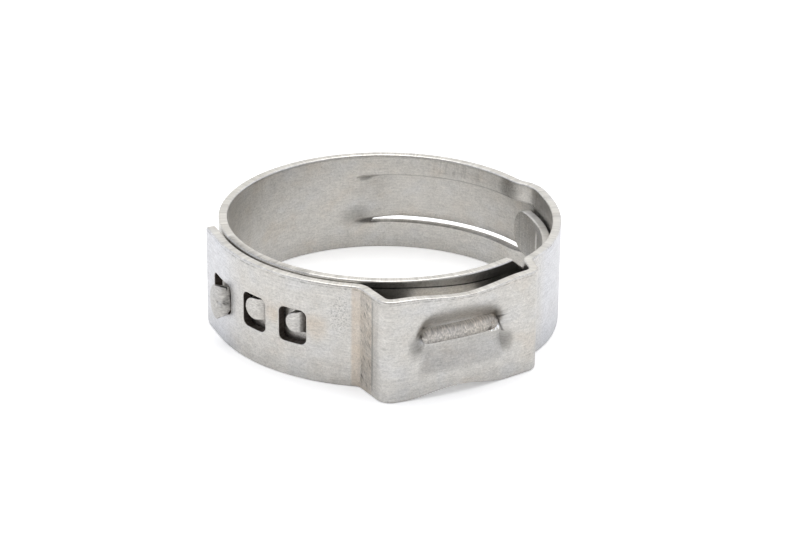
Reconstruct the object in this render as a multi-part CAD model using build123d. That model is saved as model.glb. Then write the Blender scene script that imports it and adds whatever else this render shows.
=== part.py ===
"""Stepless ear clamp for hose, folded from one stainless strip, in millimetres.

The origin is the middle of the bore, half way across the band, and +Z runs along the bore.
Angles are in degrees about +Z from +X. Going round by rising angle the strip runs: free outer
end with three windows, ear, stepped-out stretch, joggle, lanced channel, back of the ring,
under its own outer end with three hooks, and a narrow tongue that fills the step.
"""
from build123d import *

import os
from math import cos, degrees, radians, sin

# ---- strip and ring ----
bore_radius = 10.5
thickness = 0.6
band_width = 7.0
edge_break = 0.1
layer_gap = 0.08
inner_layer = bore_radius + thickness / 2
outer_layer = inner_layer + thickness + layer_gap
between_layers = bore_radius + thickness + layer_gap / 2
reach = 15.0

# ---- free outer end, which splays off the ring along a tangent ----
outer_end_angle = -157.5
outer_end_length = 2.4

# ---- ear: corners of the fold's centre line in plan, and its bend radii ----
ear_start_angle = -99.9
ear_end_angle = -34.95
ear_lead_in = 0.6
ear_lead_out = 0.45
ear_left_corner = Vector(0.15, -13.80)
ear_crown = Vector(5.08, -12.00)
ear_right_corner = Vector(9.56, -8.63)
ear_arch = 24.0
ear_bends = (1.0, 0.7, ear_arch, 0.75, 0.5)

# ---- waist where the dimple draws the ear's edges in: (side, depth, length, shift along the ear) ----
ear_waists = ((1, 0.33, 8.0, 0.55), (-1, 0.5, 7.4, -0.25))
waist_cutter_reach = 2.5

# ---- dimple pressed into the ear: a hollow with a sill part of the way up its lower slope ----
dimple_top = 2.45
dimple_crest = 1.0
dimple_sill = 0.3
dimple_bottom = -2.45
dimple_depth = 0.95
dimple_sill_depth = 0.42
dimple_sweep = 21.0
dimple_mouth = (6.9, 5.4)
dimple_floor = (5.5, 4.4)
dimple_corner = 1.0
dimple_shift = 0.05
dimple_floor_shift = 0.28
dimple_lid = 0.4
bulge_growth = 0.35

# ---- stepped-out stretch, joggle and lanced channel ----
joggle_start_angle = 20.0
joggle_end_angle = 31.5
joggle_lead = 0.5
joggle_bend = 1.2
channel_ramp_angle = 89.5
channel_end_angle = 101.5
channel_lead = 0.6
channel_bend = 1.4
channel_low = -1.6
channel_high = 2.05
slit_width = 0.1

# ---- narrow tongue at the inner end ----
shoulder_angle = 322.0
tongue_end_angle = 396.0
tongue_low = -1.3
tongue_high = 1.9
tongue_corner = 1.5
tongue_tip_overlap = 15.0

# ---- windows near the free outer end, as (from, to) angles ----
windows = ((-124.7, -114.8), (-140.5, -130.3), (-160.5, -145.9))
window_low = -1.05
window_high = 1.25
window_corner = 0.45

# ---- hooks lanced out of the inner layer: two low ones and a tall one that laps its window ----
hook_low = -0.675
hook_high = 1.075
hook_tip_corner = 0.6
hook_root_inset = 0.12
hook_clearance = 0.07
lance_root_corner = 0.04
hook_lead = 0.2
hook_tip_overlap = 20.0
low_hook_ends = ((-115.5, -122.3), (-131.0, -139.6))
low_hook_lift = 0.62
low_hook_ramp = 0.95
low_hook_bend = 0.38
tall_hook_ends = (-146.4, -157.2)
tall_hook_lift = 1.37
tall_hook_ramp = 1.1
tall_hook_bend = 0.32
lap_start_angle = -152.4
lap_low = -1.6
lap_high = 0.7
lap_corner = 0.4


def polar(radius, angle):
    return Vector(radius * cos(radians(angle)), radius * sin(radians(angle)))


def tangent(angle):
    return Vector(-sin(radians(angle)), cos(radians(angle)))


def ring_arc(radius, start, end):
    return CenterArc((0, 0), radius, start, end - start)


def joggle_path(start_radius, start, end_radius, end, lead, bend):
    """A plan path from one ring radius to another, tangent to both."""
    first = polar(start_radius, start)
    last = polar(end_radius, end)
    return FilletPolyline(
        first, first + tangent(start) * lead, last - tangent(end) * lead, last, radius=bend
    )


def swept(path, outline):
    """An outline, x up the band and y outwards, carried along a plan path."""
    return sweep(Plane(origin=path @ 0, x_dir=(0, 0, 1), z_dir=path % 0) * outline, path=path)


def strip(path):
    """The full-width strip, with the burr taken off its long edges."""
    section = Rectangle(band_width, thickness)
    return swept(path, chamfer(section.vertices(), length=edge_break))


def slab(low, high):
    return Pos(0, 0, (low + high) / 2) * Box(2 * reach, 2 * reach, high - low)


def inside_layer():
    """Everything nearer the axis than the gap between the two layers."""
    return Cylinder(between_layers, reach)


def outward_block(from_angle, to_angle, low, high, corner):
    """A round-cornered prism through the ring wall, sized at the outer layer."""
    middle_angle = (from_angle + to_angle) / 2
    length = 2 * outer_layer * sin(radians(to_angle - from_angle) / 2)
    base = polar(inner_layer / 2, middle_angle) + Vector(0, 0, (low + high) / 2)
    plane = Plane(origin=base, x_dir=tangent(middle_angle), z_dir=polar(1, middle_angle))
    return extrude(plane * RectangleRounded(length, high - low, corner), amount=reach)


def outer_end():
    start = polar(outer_layer, outer_end_angle)
    tip = start - tangent(outer_end_angle) * outer_end_length
    path = Line(tip, start) + ring_arc(outer_layer, outer_end_angle, ear_start_angle)
    end = strip(path)
    for from_angle, to_angle in windows:
        window = outward_block(from_angle, to_angle, window_low, window_high, window_corner)
        end -= window - inside_layer()
    return end


def arch_centre():
    """Middle of the large bend that arches the ear's bridge, on the ring's side of it."""
    before = (ear_crown - ear_left_corner).normalized()
    after = (ear_right_corner - ear_crown).normalized()
    inwards = (after - before).normalized()
    half_turn = radians(before.get_angle(after)) / 2
    return ear_crown + inwards * (ear_arch / cos(half_turn))


def ear_face():
    """A plane on the outside of the bridge: x along it, y up, z outwards."""
    centre = arch_centre()
    outwards = (ear_crown - centre).normalized()
    origin = centre + outwards * (ear_arch + thickness / 2)
    along = Vector(-outwards.Y, outwards.X)
    return Plane(origin=origin + along * dimple_shift, x_dir=along, z_dir=outwards)


def pressed_form(under, growth):
    """The dimple's form, at a distance under the ear's outer face and grown all round."""
    centre = arch_centre()
    face = ear_face()
    start = face.z_dir.rotate(Axis.Z, -dimple_sweep / 2)
    radius = ear_arch + thickness / 2 - under
    outline = Polyline(
        (radius + dimple_lid, dimple_top + growth),
        (radius, dimple_top + growth),
        (radius - dimple_depth, dimple_crest),
        (radius - dimple_sill_depth, dimple_sill - growth),
        (radius, dimple_bottom - growth),
        (radius + dimple_lid, dimple_bottom - growth),
        close=True,
    )
    profile = Plane(origin=centre, x_dir=start, z_dir=start.cross(Vector(0, 0, 1))) * make_face(outline)
    hollow = revolve(profile, axis=Axis(centre, (0, 0, 1)), revolution_arc=dimple_sweep)
    mouth = RectangleRounded(dimple_mouth[0] + growth, dimple_mouth[1] + growth, dimple_corner)
    floor = RectangleRounded(dimple_floor[0] + growth, dimple_floor[1] + growth, dimple_corner)
    rim = face * Pos(0, 0, dimple_lid - under)
    bed = face * Pos(dimple_floor_shift, 0, -dimple_depth - dimple_lid - under)
    return hollow & loft([rim * mouth, bed * floor])


def waist_cutter(side, depth, length, shift):
    """A disc that scallops one long edge of the ear's bridge."""
    radius = (length**2 / 4 + depth**2) / (2 * depth)
    middle = side * (band_width / 2 - depth + radius)
    disc = ear_face() * Pos(shift, middle, 0) * Circle(radius)
    return extrude(disc, amount=waist_cutter_reach, both=True)


def ear():
    start = polar(outer_layer, ear_start_angle)
    end = polar(outer_layer, ear_end_angle)
    corners = (
        start + tangent(ear_start_angle) * ear_lead_in,
        ear_left_corner,
        ear_crown,
        ear_right_corner,
        end - tangent(ear_end_angle) * ear_lead_out,
    )
    fold = strip(FilletPolyline(start, *corners, end, radius=ear_bends))
    fold += pressed_form(thickness, bulge_growth)
    fold -= pressed_form(0, 0)
    for side, depth, length, shift in ear_waists:
        fold -= waist_cutter(side, depth, length, shift)
    return fold


def stepped_stretch():
    return strip(ring_arc(outer_layer, ear_end_angle, joggle_start_angle))


def side_lanes():
    """The two lanes that joggle in to the bore above and below the channel."""
    joggle = joggle_path(
        outer_layer, joggle_start_angle, inner_layer, joggle_end_angle, joggle_lead, joggle_bend
    )
    lanes = strip(joggle + ring_arc(inner_layer, joggle_end_angle, channel_end_angle))
    return lanes - slab(channel_low - slit_width / 2, channel_high + slit_width / 2)


def channel():
    """The middle lane, which stays out at the step and ramps in at its far end."""
    ramp = joggle_path(
        outer_layer, channel_ramp_angle, inner_layer, channel_end_angle, channel_lead, channel_bend
    )
    lane = strip(ring_arc(outer_layer, joggle_start_angle, channel_ramp_angle) + ramp)
    return lane & slab(channel_low + slit_width / 2, channel_high - slit_width / 2)


def inner_band():
    """Full width from the channel's end round the back and under the ear."""
    band = strip(ring_arc(inner_layer, channel_end_angle, shoulder_angle))
    tongue_middle = (shoulder_angle + tongue_end_angle) / 2
    tongue = strip(ring_arc(inner_layer, shoulder_angle, tongue_middle))
    tongue &= slab(tongue_low, tongue_high)
    tip = strip(ring_arc(inner_layer, tongue_middle, tongue_end_angle))
    tip &= outward_block(
        tongue_middle - tongue_tip_overlap,
        tongue_end_angle,
        tongue_low,
        tongue_high,
        tongue_corner,
    )
    return band + tongue + tip


def hook_path(root, tip, lift, ramp, bend):
    """Plan of a hook by rising angle, from its raised free end down to its root."""
    raised = inner_layer + lift
    ramp_start = root - degrees(ramp / inner_layer)
    path = ring_arc(raised, tip, ramp_start)
    path += joggle_path(raised, ramp_start, inner_layer, root, hook_lead, bend)
    return path + ring_arc(inner_layer, root, root + degrees(hook_root_inset / inner_layer))


def tab(path, low, high):
    return Pos(0, 0, (low + high) / 2) * swept(path, Rectangle(high - low, thickness))


def hook(root, tip, path):
    """A tab with a rounded free end."""
    rounded = outward_block(tip, root + hook_tip_overlap, hook_low, hook_high, hook_tip_corner)
    return tab(path, hook_low, hook_high) & rounded


def lance_opening(root, tip, low, high, corner):
    """The opening left in the inner layer where a tab is pushed out of it, square at its root."""
    end = tip - degrees(hook_clearance / inner_layer)
    bottom = low - hook_clearance
    top = high + hook_clearance
    opening = outward_block(end, root, bottom, top, corner)
    opening += outward_block((root + tip) / 2, root, bottom, top, lance_root_corner)
    return opening & inside_layer()


def hooks():
    """Each hook with the opening it leaves, as (opening, hook) pairs."""
    pairs = []
    for root, tip in low_hook_ends:
        path = hook_path(root, tip, low_hook_lift, low_hook_ramp, low_hook_bend)
        opening = lance_opening(root, tip, hook_low, hook_high, hook_tip_corner)
        pairs.append((opening, hook(root, tip, path)))
    root, tip = tall_hook_ends
    path = hook_path(root, tip, tall_hook_lift, tall_hook_ramp, tall_hook_bend)
    lap_path = ring_arc(inner_layer + tall_hook_lift, tip, lap_start_angle)
    lap = tab(lap_path, lap_low, lap_high)
    lap &= outward_block(tip, lap_start_angle, lap_low, lap_high, lap_corner)
    opening = lance_opening(root, tip, hook_low, hook_high, hook_tip_corner)
    lap_root = lap_start_angle + degrees(hook_clearance / inner_layer)
    opening += lance_opening(lap_root, tip, lap_low, lap_high, lap_corner)
    pairs.append((opening, hook(root, tip, path) + lap))
    return pairs


def build():
    band = outer_end() + ear() + stepped_stretch() + side_lanes() + channel() + inner_band()
    for opening, raised_hook in hooks():
        band = band - opening + raised_hook
    return band


if __name__ == "__main__":
    os.makedirs("parts", exist_ok=True)
    export_step(build(), "parts/clamp_band.step")
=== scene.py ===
import math
from types import SimpleNamespace

import bpy
import numpy as np
from mathutils import Matrix, Vector
from mathutils.geometry import delaunay_2d_cdt


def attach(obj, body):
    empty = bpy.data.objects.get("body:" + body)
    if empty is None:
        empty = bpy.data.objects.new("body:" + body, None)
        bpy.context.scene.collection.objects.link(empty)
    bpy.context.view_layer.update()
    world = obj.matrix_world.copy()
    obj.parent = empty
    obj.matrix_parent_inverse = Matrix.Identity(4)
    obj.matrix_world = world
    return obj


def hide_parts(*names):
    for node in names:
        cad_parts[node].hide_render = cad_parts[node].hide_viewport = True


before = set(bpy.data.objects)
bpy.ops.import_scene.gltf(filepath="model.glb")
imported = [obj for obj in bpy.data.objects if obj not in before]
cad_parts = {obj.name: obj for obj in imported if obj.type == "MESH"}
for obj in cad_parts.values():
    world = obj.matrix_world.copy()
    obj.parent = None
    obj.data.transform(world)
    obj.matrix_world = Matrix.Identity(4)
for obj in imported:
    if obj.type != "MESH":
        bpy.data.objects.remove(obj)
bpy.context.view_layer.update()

mm = 0.001
print("frame loaded")


def linked(name, data):
    made = bpy.data.objects.new(name, data)
    bpy.context.collection.objects.link(made)
    return made


# the strip: millimetres, degrees about +Z from +X, worked along its length from the free outer end
strip = {
    "bore": 10.5, "thick": 0.6, "width": 7.0, "gap": 0.08,
    "edgeRound": 0.12, "cutRound": 0.07, "lanceRound": 0.035,
    "tailLength": 2.4, "tailAngle": -157.5, "tailCorner": 0.3,
    "channelLow": -1.48, "channelHigh": (2.12, 1.87), "slit": 0.1, "lowSlit": 0.2, "slitCorner": 0.47,
    "tongueLow": -1.0, "tongueHigh": 2.2, "tongueCorner": 1.5, "tongueEnd": 392.0,
    "shoulderAngle": 317.5, "shoulderRun": 1.5, "shoulderCorner": 0.25, "shoulderFillet": 0.5,
    "tongueDroop": 0.42, "tongueInset": 0.2,
}
ear = {
    "start": -99.9, "end": -34.95, "leadIn": 0.6, "leadOut": 0.45,
    "corners": ((0.15, -13.80), (5.08, -12.00), (9.56, -8.63)),
    "bends": (1.0, 0.7, 24.0, 0.75, 0.5),
}
step = {"start": 25.2, "end": 36.7, "lead": 0.55, "bend": 2.6}
channel = {"ramp": 84.0, "end": 101.5, "lowCutEnd": 96.0}
windows = {
    "spans": ((-124.7, -114.8), (-140.5, -130.3), (-161.6, -147.9)),
    "heights": ((-1.1, 1.25), (-1.1, 1.25), (-1.15, 0.9)), "corner": 0.42,
}
hooks = {
    "low": -0.6, "high": 0.88, "corner": 0.72, "clearance": 0.07, "rootCorner": 0.03, "lead": 0.2,
    "ends": ((-115.5, -122.3), (-131.0, -139.6), (-146.7, -156.8)),
    "lift": (0.62, 0.62, 1.37), "ramp": (0.95, 0.95, 0.75), "bend": (0.38, 0.38, 0.2),
}
# tall hook's head, as (share of the way from root to tip, height): a knob wider than its neck
head = {
    "outline": ((0.0, -0.85), (0.35, -0.85), (0.5, -1.3), (0.76, -1.9), (0.99, -1.4), (1.0, -0.8),
                (1.0, -0.15), (0.88, 0.4), (0.55, 0.62), (0.0, 0.62)),
    "corner": 0.25, "middle": (0.72, -0.6), "reach": (0.5, 1.45), "dome": 0.22,
    "facet": (0.52, -0.35), "facetReach": (0.16, 0.4), "facetDepth": 0.07, "facetEdge": 1.6,
}

innerLine = strip["bore"] + strip["thick"] / 2
outerLine = innerLine + strip["thick"] + strip["gap"]


def polar(radius, angle):
    a = math.radians(angle)
    return np.array((radius * math.cos(a), radius * math.sin(a)))


def tangent(angle):
    a = math.radians(angle)
    return np.array((-math.sin(a), math.cos(a)))


# moves are ("line", length) or ("bend", radius, turn), followed like a bending machine would
def movesThrough(points, bends):
    moves = []
    used = 0.0
    for i in range(1, len(points) - 1):
        before = points[i] - points[i - 1]
        after = points[i + 1] - points[i]
        turn = math.atan2(before[0] * after[1] - before[1] * after[0], before @ after)
        trim = bends[i - 1] * math.tan(abs(turn) / 2)
        moves.append(("line", np.linalg.norm(before) - used - trim))
        moves.append(("bend", bends[i - 1], turn))
        used = trim
    moves.append(("line", np.linalg.norm(points[-1] - points[-2]) - used))
    return moves


def ringMove(radius, start, end):
    return ("bend", radius, math.radians(end - start))


class Path:
    def __init__(self, rows):
        self.s, self.x, self.y, self.a = np.array(rows).T
        self.length = self.s[-1]

    def at(self, s):
        return np.interp(s, self.s, self.x), np.interp(s, self.s, self.y), np.interp(s, self.s, self.a)


def bentPath(start, heading, moves, pitch=0.02):
    rows = [(0.0, start[0], start[1], heading)]
    for move in moves:
        length = move[1] if move[0] == "line" else move[1] * abs(move[2])
        count = max(int(length / pitch), 2)
        curve = 0.0 if move[0] == "line" else move[2] / length
        s0, x0, y0, a0 = rows[-1]
        for i in range(1, count + 1):
            d = length * i / count
            a = a0 + curve * d
            if curve:
                x = x0 + (math.sin(a) - math.sin(a0)) / curve
                y = y0 - (math.cos(a) - math.cos(a0)) / curve
            else:
                x = x0 + d * math.cos(a0)
                y = y0 + d * math.sin(a0)
            rows.append((s0 + d, x, y, a))
    return Path(rows)


def joggleMoves(fromRadius, fromAngle, toRadius, toAngle, lead, bend):
    first, last = polar(fromRadius, fromAngle), polar(toRadius, toAngle)
    corners = [first, first + tangent(fromAngle) * lead, last - tangent(toAngle) * lead, last]
    return movesThrough(corners, (bend, bend))


def ease(x):
    x = np.clip(x, 0.0, 1.0)
    return x * x * (3 - 2 * x)


# the middle lane keeps the outer radius, then eases down on to the ring
def channelPath(count=600):
    angles = np.linspace(step["start"], channel["end"], count)
    fallen = ease((angles - channel["ramp"]) / (channel["end"] - channel["ramp"]))
    radii = outerLine - (outerLine - innerLine) * fallen
    x, y = radii * np.cos(np.radians(angles)), radii * np.sin(np.radians(angles))
    s = np.concatenate(([0.0], np.cumsum(np.hypot(np.diff(x), np.diff(y)))))
    heading = np.unwrap(np.arctan2(np.gradient(y), np.gradient(x)))
    return Path(np.stack((s, x, y, heading), -1))


def headingAt(angle):
    return math.radians(angle + 90)


earStart, earEnd = polar(outerLine, ear["start"]), polar(outerLine, ear["end"])
earPoints = [earStart, earStart + tangent(ear["start"]) * ear["leadIn"]]
earPoints += [np.array(c) for c in ear["corners"]]
earPoints += [earEnd - tangent(ear["end"]) * ear["leadOut"], earEnd]
earMoves = movesThrough(earPoints, ear["bends"])
stepMoves = joggleMoves(outerLine, step["start"], innerLine, step["end"], step["lead"], step["bend"])

tailStart = polar(outerLine, strip["tailAngle"]) - tangent(strip["tailAngle"]) * strip["tailLength"]
sections = [
    ("tail", [("line", strip["tailLength"])]),
    ("outer", [ringMove(outerLine, strip["tailAngle"], ear["start"])]),
    ("ear", earMoves),
    ("raised", [ringMove(outerLine, ear["end"], step["start"])]),
    ("step", stepMoves),
    ("ring", [ringMove(innerLine, step["end"], strip["tongueEnd"])]),
]
marks = {}
reached = 0.0
for name, moves in sections:
    marks[name] = reached
    reached += sum(m[1] if m[0] == "line" else m[1] * abs(m[2]) for m in moves)
stripLength = reached
allMoves = [move for _, moves in sections for move in moves]
mainPath = bentPath(tailStart, headingAt(strip["tailAngle"]), allMoves)
print("strip length %.1f mm" % stripLength)


def onOuter(angle):
    return marks["outer"] + outerLine * math.radians(angle - strip["tailAngle"])


def onRing(angle):
    turned = angle + 360 if angle < 0 else angle
    return marks["ring"] + innerLine * math.radians(turned - step["end"])


# lanes: stretches of the flat strip that follow a path of their own once they are slit free
def laneOf(uStart, uEnd, path):
    return {"u0": uStart, "u1": uEnd, "path": path}


lanes = {
    "main": laneOf(0.0, stripLength, mainPath),
    "channel": laneOf(marks["step"], onRing(channel["end"]), channelPath()),
}
for i, (root, tip) in enumerate(hooks["ends"]):
    raised = innerLine + hooks["lift"][i]
    rampStart = root - math.degrees(hooks["ramp"][i] / innerLine)
    moves = [ringMove(raised, tip, rampStart)]
    moves += joggleMoves(raised, rampStart, innerLine, root, hooks["lead"], hooks["bend"][i])
    path = bentPath(polar(raised, tip), headingAt(tip), moves)
    lanes["hook%d" % i] = laneOf(onRing(tip), onRing(root), path)


# dimple in the ear: lengths from the ear's start, heights from mid strip, depths below the face
dimple = {
    "left": 4.75, "leftRun": 1.15, "right": 11.8, "rightRun": 0.5, "middle": 8.0, "tilt": -0.005,
    "archLeft": 3.15, "archRight": 3.8, "archPower": 2.75, "archLeast": 0.04, "spring": 0.5,
    "basin": ((2.95, 0.0), (1.1, 0.78), (0.74, 0.72), (0.08, 0.36), (-2.35, 0.0)),
    "bar": (6.1, 10.75), "barHeight": 0.48, "barHalf": 0.285, "barDepth": 0.27, "barCrown": 0.08,
    "barReach": 1.22, "barFade": 0.42,
}
waist = {
    "topMiddle": 8.8, "topReach": 4.2, "topDepth": 0.33,
    "lowMiddle": 8.0, "lowReach": 3.9, "lowDepth": 0.52, "falloff": 3,
}
raisedPull = {"depth": 0.13, "from": 1.5, "rampIn": 5.0, "past": 2.0, "rampOut": 4.5}
climb = {"from": 150.0, "to": 215.0, "height": 0.15}
tongue = {"bendStart": 335.0, "bendEnd": 375.0}


def dimpleDepth(u, z):
    a = u - marks["ear"]
    d = dimple
    h = z + d["tilt"] * (a - d["middle"])
    reach = np.where(a < d["middle"], d["archLeft"], d["archRight"])
    across = np.abs(a - d["middle"]) / reach
    arch = np.sqrt(np.clip(1 - across ** d["archPower"], d["archLeast"], 1))
    above = np.where(h > d["spring"], d["spring"] + (h - d["spring"]) / arch, h)
    basin = np.zeros_like(h)
    for (h0, d0), (h1, d1) in zip(d["basin"], d["basin"][1:]):
        sunk = d0 + (d1 - d0) * ease((h0 - above) / (h0 - h1))
        basin = np.where((above <= h0) & (above > h1), sunk, basin)
    basin = basin * ease((a - d["left"]) / d["leftRun"]) * ease((d["right"] - a) / d["rightRun"])
    beside = a - np.clip(a, *d["bar"])
    up = (h - d["barHeight"]) / d["barHalf"]
    away = np.hypot(beside / d["barHalf"], up)
    bar = ease((d["barReach"] - away) / d["barFade"])
    return basin + (np.minimum(d["barDepth"] + d["barCrown"] * up ** 2, basin) - basin) * bar


def headDepth(u, z, lane):
    share = (lane["u1"] - u) / (lane["u1"] - lane["u0"])
    across = (share - head["middle"][0]) / head["reach"][0]
    up = (z - head["middle"][1]) / head["reach"][1]
    (facetShare, facetZ), (reachShare, reachZ) = head["facet"], head["facetReach"]
    dent = np.abs(share - facetShare) / reachShare + np.abs(z - facetZ) / reachZ
    facet = head["facetDepth"] * ease(head["facetEdge"] * (1 - dent))
    return head["dome"] * (across ** 2 + up ** 2) + facet


# the raised stretch sits a little closer than a true circle
def pulledIn(u):
    begun = ease((u - marks["raised"] - raisedPull["from"]) / raisedPull["rampIn"])
    ended = ease((marks["step"] + raisedPull["past"] - u) / raisedPull["rampOut"])
    return raisedPull["depth"] * begun * ended


# share of the way from one place on the strip to another, eased at both ends
def easedShare(u, start, end):
    return ease((u - start) / (end - start))


def pressedIn(u, z, lane):
    if lane is lanes["main"]:
        bent = easedShare(u, onRing(tongue["bendStart"]), onRing(tongue["bendEnd"]))
        return dimpleDepth(u, z) + strip["tongueInset"] * bent + pulledIn(u)
    if lane is lanes["channel"]:
        return pulledIn(u)
    if lane is lanes["hook2"]:
        return headDepth(u, z, lane)
    return np.zeros_like(u)


# heights: the dimple draws the ear's edges in, the inner layer climbs a little, its tongue droops
def heightAt(u, z):
    a = u - marks["ear"]
    top = waist["topDepth"] * ease(1 - np.abs(a - waist["topMiddle"]) / waist["topReach"])
    low = waist["lowDepth"] * ease(1 - np.abs(a - waist["lowMiddle"]) / waist["lowReach"])
    half = strip["width"] / 2
    climbed = climb["height"] * easedShare(u, onRing(climb["from"]), onRing(climb["to"]))
    drooped = easedShare(u, onRing(strip["shoulderAngle"]), stripLength)
    falloff = waist["falloff"]
    drawn = low * np.clip(-z / half, 0, 1) ** falloff - top * np.clip(z / half, 0, 1) ** falloff
    return z + drawn + climbed - strip["tongueDroop"] * drooped


def midSurface(u, z, lane):
    s = (u - lane["u0"]) / (lane["u1"] - lane["u0"]) * lane["path"].length
    x, y, a = lane["path"].at(s)
    inward = pressedIn(u, z, lane)
    return np.stack((x - inward * np.sin(a), y + inward * np.cos(a), heightAt(u, z)), -1)


def surfaceFrame(u, z, lane, reach=0.004):
    alongU = midSurface(u + reach, z, lane) - midSurface(u - reach, z, lane)
    alongZ = midSurface(u, z + reach, lane) - midSurface(u, z - reach, lane)
    alongU /= np.linalg.norm(alongU, axis=1)[:, None]
    alongZ /= np.linalg.norm(alongZ, axis=1)[:, None]
    out = np.cross(alongU, alongZ)
    return alongU, alongZ, out / np.linalg.norm(out, axis=1)[:, None]


# the flat blank: rounded outlines in (u, z), meshed finely where the strip bends sharply
meshing = {
    "coarse": 0.34, "fine": 0.085, "finer": 0.06, "side": 0.45,
    "outlineRings": 3, "cutRings": 2, "clearShare": 0.6, "nearby": 1.0,
}
fineSpans = [
    (marks["ear"] - 0.2, marks["ear"] + 4.0), (marks["raised"] - 3.0, marks["raised"] + 0.5),
    (marks["step"] - 0.2, marks["ring"] + 0.3),
    (onRing(channel["ramp"]) - 0.3, onRing(channel["end"]) + 0.2),
]
fineSpans += [(onRing(tip) - 0.2, onRing(root) + 0.2) for root, tip in hooks["ends"]]
dimpleSpan = (marks["ear"] + dimple["left"] - 0.3, marks["ear"] + dimple["right"] + 0.3)


def spacingAt(u):
    if dimpleSpan[0] < u < dimpleSpan[1] or any(a < u < b for a, b in fineSpans):
        return meshing["fine"]
    return meshing["coarse"]


def roundedLoop(corners, radii):
    points = []
    count = len(corners)
    for i in range(count):
        here, before, after = (np.array(corners[k % count], float) for k in (i, i - 1, i + 1))
        toBefore = (before - here) / np.linalg.norm(before - here)
        toAfter = (after - here) / np.linalg.norm(after - here)
        radius = radii[i]
        turn = math.pi - math.acos(np.clip(toBefore @ toAfter, -1, 1))
        trim = radius * math.tan(turn / 2)
        a, b = here + toBefore * trim, here + toAfter * trim
        inwards = (toBefore + toAfter) / np.linalg.norm(toBefore + toAfter)
        centre = here + inwards * radius / math.cos(turn / 2)
        steps = max(int(radius * turn / meshing["finer"]), 3)
        for k in range(steps + 1):
            w = k / steps
            arm = (a - centre) * math.sin((1 - w) * turn) + (b - centre) * math.sin(w * turn)
            points.append(centre + arm / math.sin(turn))
    filled = []
    for i, p in enumerate(points):
        q = points[(i + 1) % len(points)]
        filled.append(p)
        gap = np.linalg.norm(q - p)
        if gap > meshing["finer"] * 1.5:
            along = p
            while True:
                pitch = spacingAt(along[0]) if abs(q[0] - p[0]) > 1e-6 else meshing["side"] / 3
                left = np.linalg.norm(q - along)
                if left < pitch * 1.5:
                    break
                along = along + (q - along) / left * pitch
                filled.append(along)
    return np.array(filled)


def boxLoop(u0, u1, low, high, corner):
    corners = [(u0, low), (u0, high), (u1, high), (u1, low)]
    return roundedLoop(corners, [corner] * 4)


half = strip["width"] / 2
uShoulder = onRing(strip["shoulderAngle"])
uNeck = uShoulder + strip["shoulderRun"]
outline = roundedLoop(
    [(0, -half), (uShoulder, -half), (uNeck, strip["tongueLow"]), (stripLength, strip["tongueLow"]),
     (stripLength, strip["tongueHigh"]), (uNeck, strip["tongueHigh"]), (uShoulder, half), (0, half)],
    [strip["tailCorner"], strip["shoulderCorner"], strip["shoulderFillet"], strip["tongueCorner"],
     strip["tongueCorner"], strip["shoulderFillet"], strip["shoulderCorner"], strip["tailCorner"]])
loops = [("outline", outline, strip["edgeRound"])]
for (a, b), (low, high) in zip(windows["spans"], windows["heights"]):
    loop = boxLoop(onOuter(a), onOuter(b), low, high, windows["corner"])
    loops.append(("window", loop, strip["cutRound"]))
slitEnds = (lanes["channel"]["u0"], lanes["channel"]["u1"])
lowMiddles = (strip["channelLow"], strip["channelLow"])
cuts = (
    (lowMiddles, strip["lowSlit"], onRing(channel["lowCutEnd"])),
    (strip["channelHigh"], strip["slit"], slitEnds[1]),
)
for (first, last), slit, cutEnd in cuts:
    h = slit / 2
    corners = [(slitEnds[0], first - h), (slitEnds[0], first + h), (cutEnd, last + h), (cutEnd, last - h)]
    loops.append(("slit", roundedLoop(corners, [slit * strip["slitCorner"]] * 4), strip["lanceRound"]))


def tabCorners(index):
    root, tip = (onRing(a) for a in hooks["ends"][index])
    if index < 2:
        low, high = hooks["low"], hooks["high"]
        return [(root, low), (tip, low), (tip, high), (root, high)], [hooks["corner"]] * 2
    corners = [(root + (tip - root) * share, z) for share, z in head["outline"]]
    return corners, [head["corner"]] * (len(corners) - 2)


def lanceLoop(index):
    root, tip = (onRing(a) for a in hooks["ends"][index])
    corners, radii = tabCorners(index)
    c, sharp = hooks["clearance"], hooks["rootCorner"]
    low, high = min(z for _, z in corners) - c, max(z for _, z in corners) + c
    outer = [(root, high), (tip - c, high), (tip - c, low), (root, low)]
    round4 = [sharp, radii[0] + c, radii[0] + c, sharp]
    return roundedLoop(corners + outer, [sharp, *radii, sharp] + round4)


for i in range(len(hooks["ends"])):
    loops.append(("hook%d" % i, lanceLoop(i), strip["lanceRound"]))


def signedArea(loop):
    x, y = loop.T
    return 0.5 * np.sum(x * np.roll(y, -1) - np.roll(x, -1) * y)


def inside(points, loop):
    x, y = points.T
    result = np.zeros(len(points), bool)
    ax, ay = loop.T
    bx, by = np.roll(ax, -1), np.roll(ay, -1)
    for i in range(len(loop)):
        crosses = (ay[i] > y) != (by[i] > y)
        if crosses.any():
            at = ax[i] + (y - ay[i]) * (bx[i] - ax[i]) / ((by[i] - ay[i]) or 1e-12)
            result ^= crosses & (x < at)
    return result


def outward(loop):
    across = np.roll(loop, -1, 0) - np.roll(loop, 1, 0)
    n = np.stack((across[:, 1], -across[:, 0]), -1)
    return n / np.linalg.norm(n, axis=1)[:, None]


# the metal lies on each loop's left; entries are (name, inset loop, outward directions, edge radius)
blank = []
for name, loop, edge in loops:
    if (signedArea(loop) > 0) != (name == "outline"):
        loop = loop[::-1]
    away = outward(loop)
    blank.append((name, loop - away * edge, away, edge))
print("blank outlined, %d edge points" % sum(len(b[1]) for b in blank))


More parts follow.
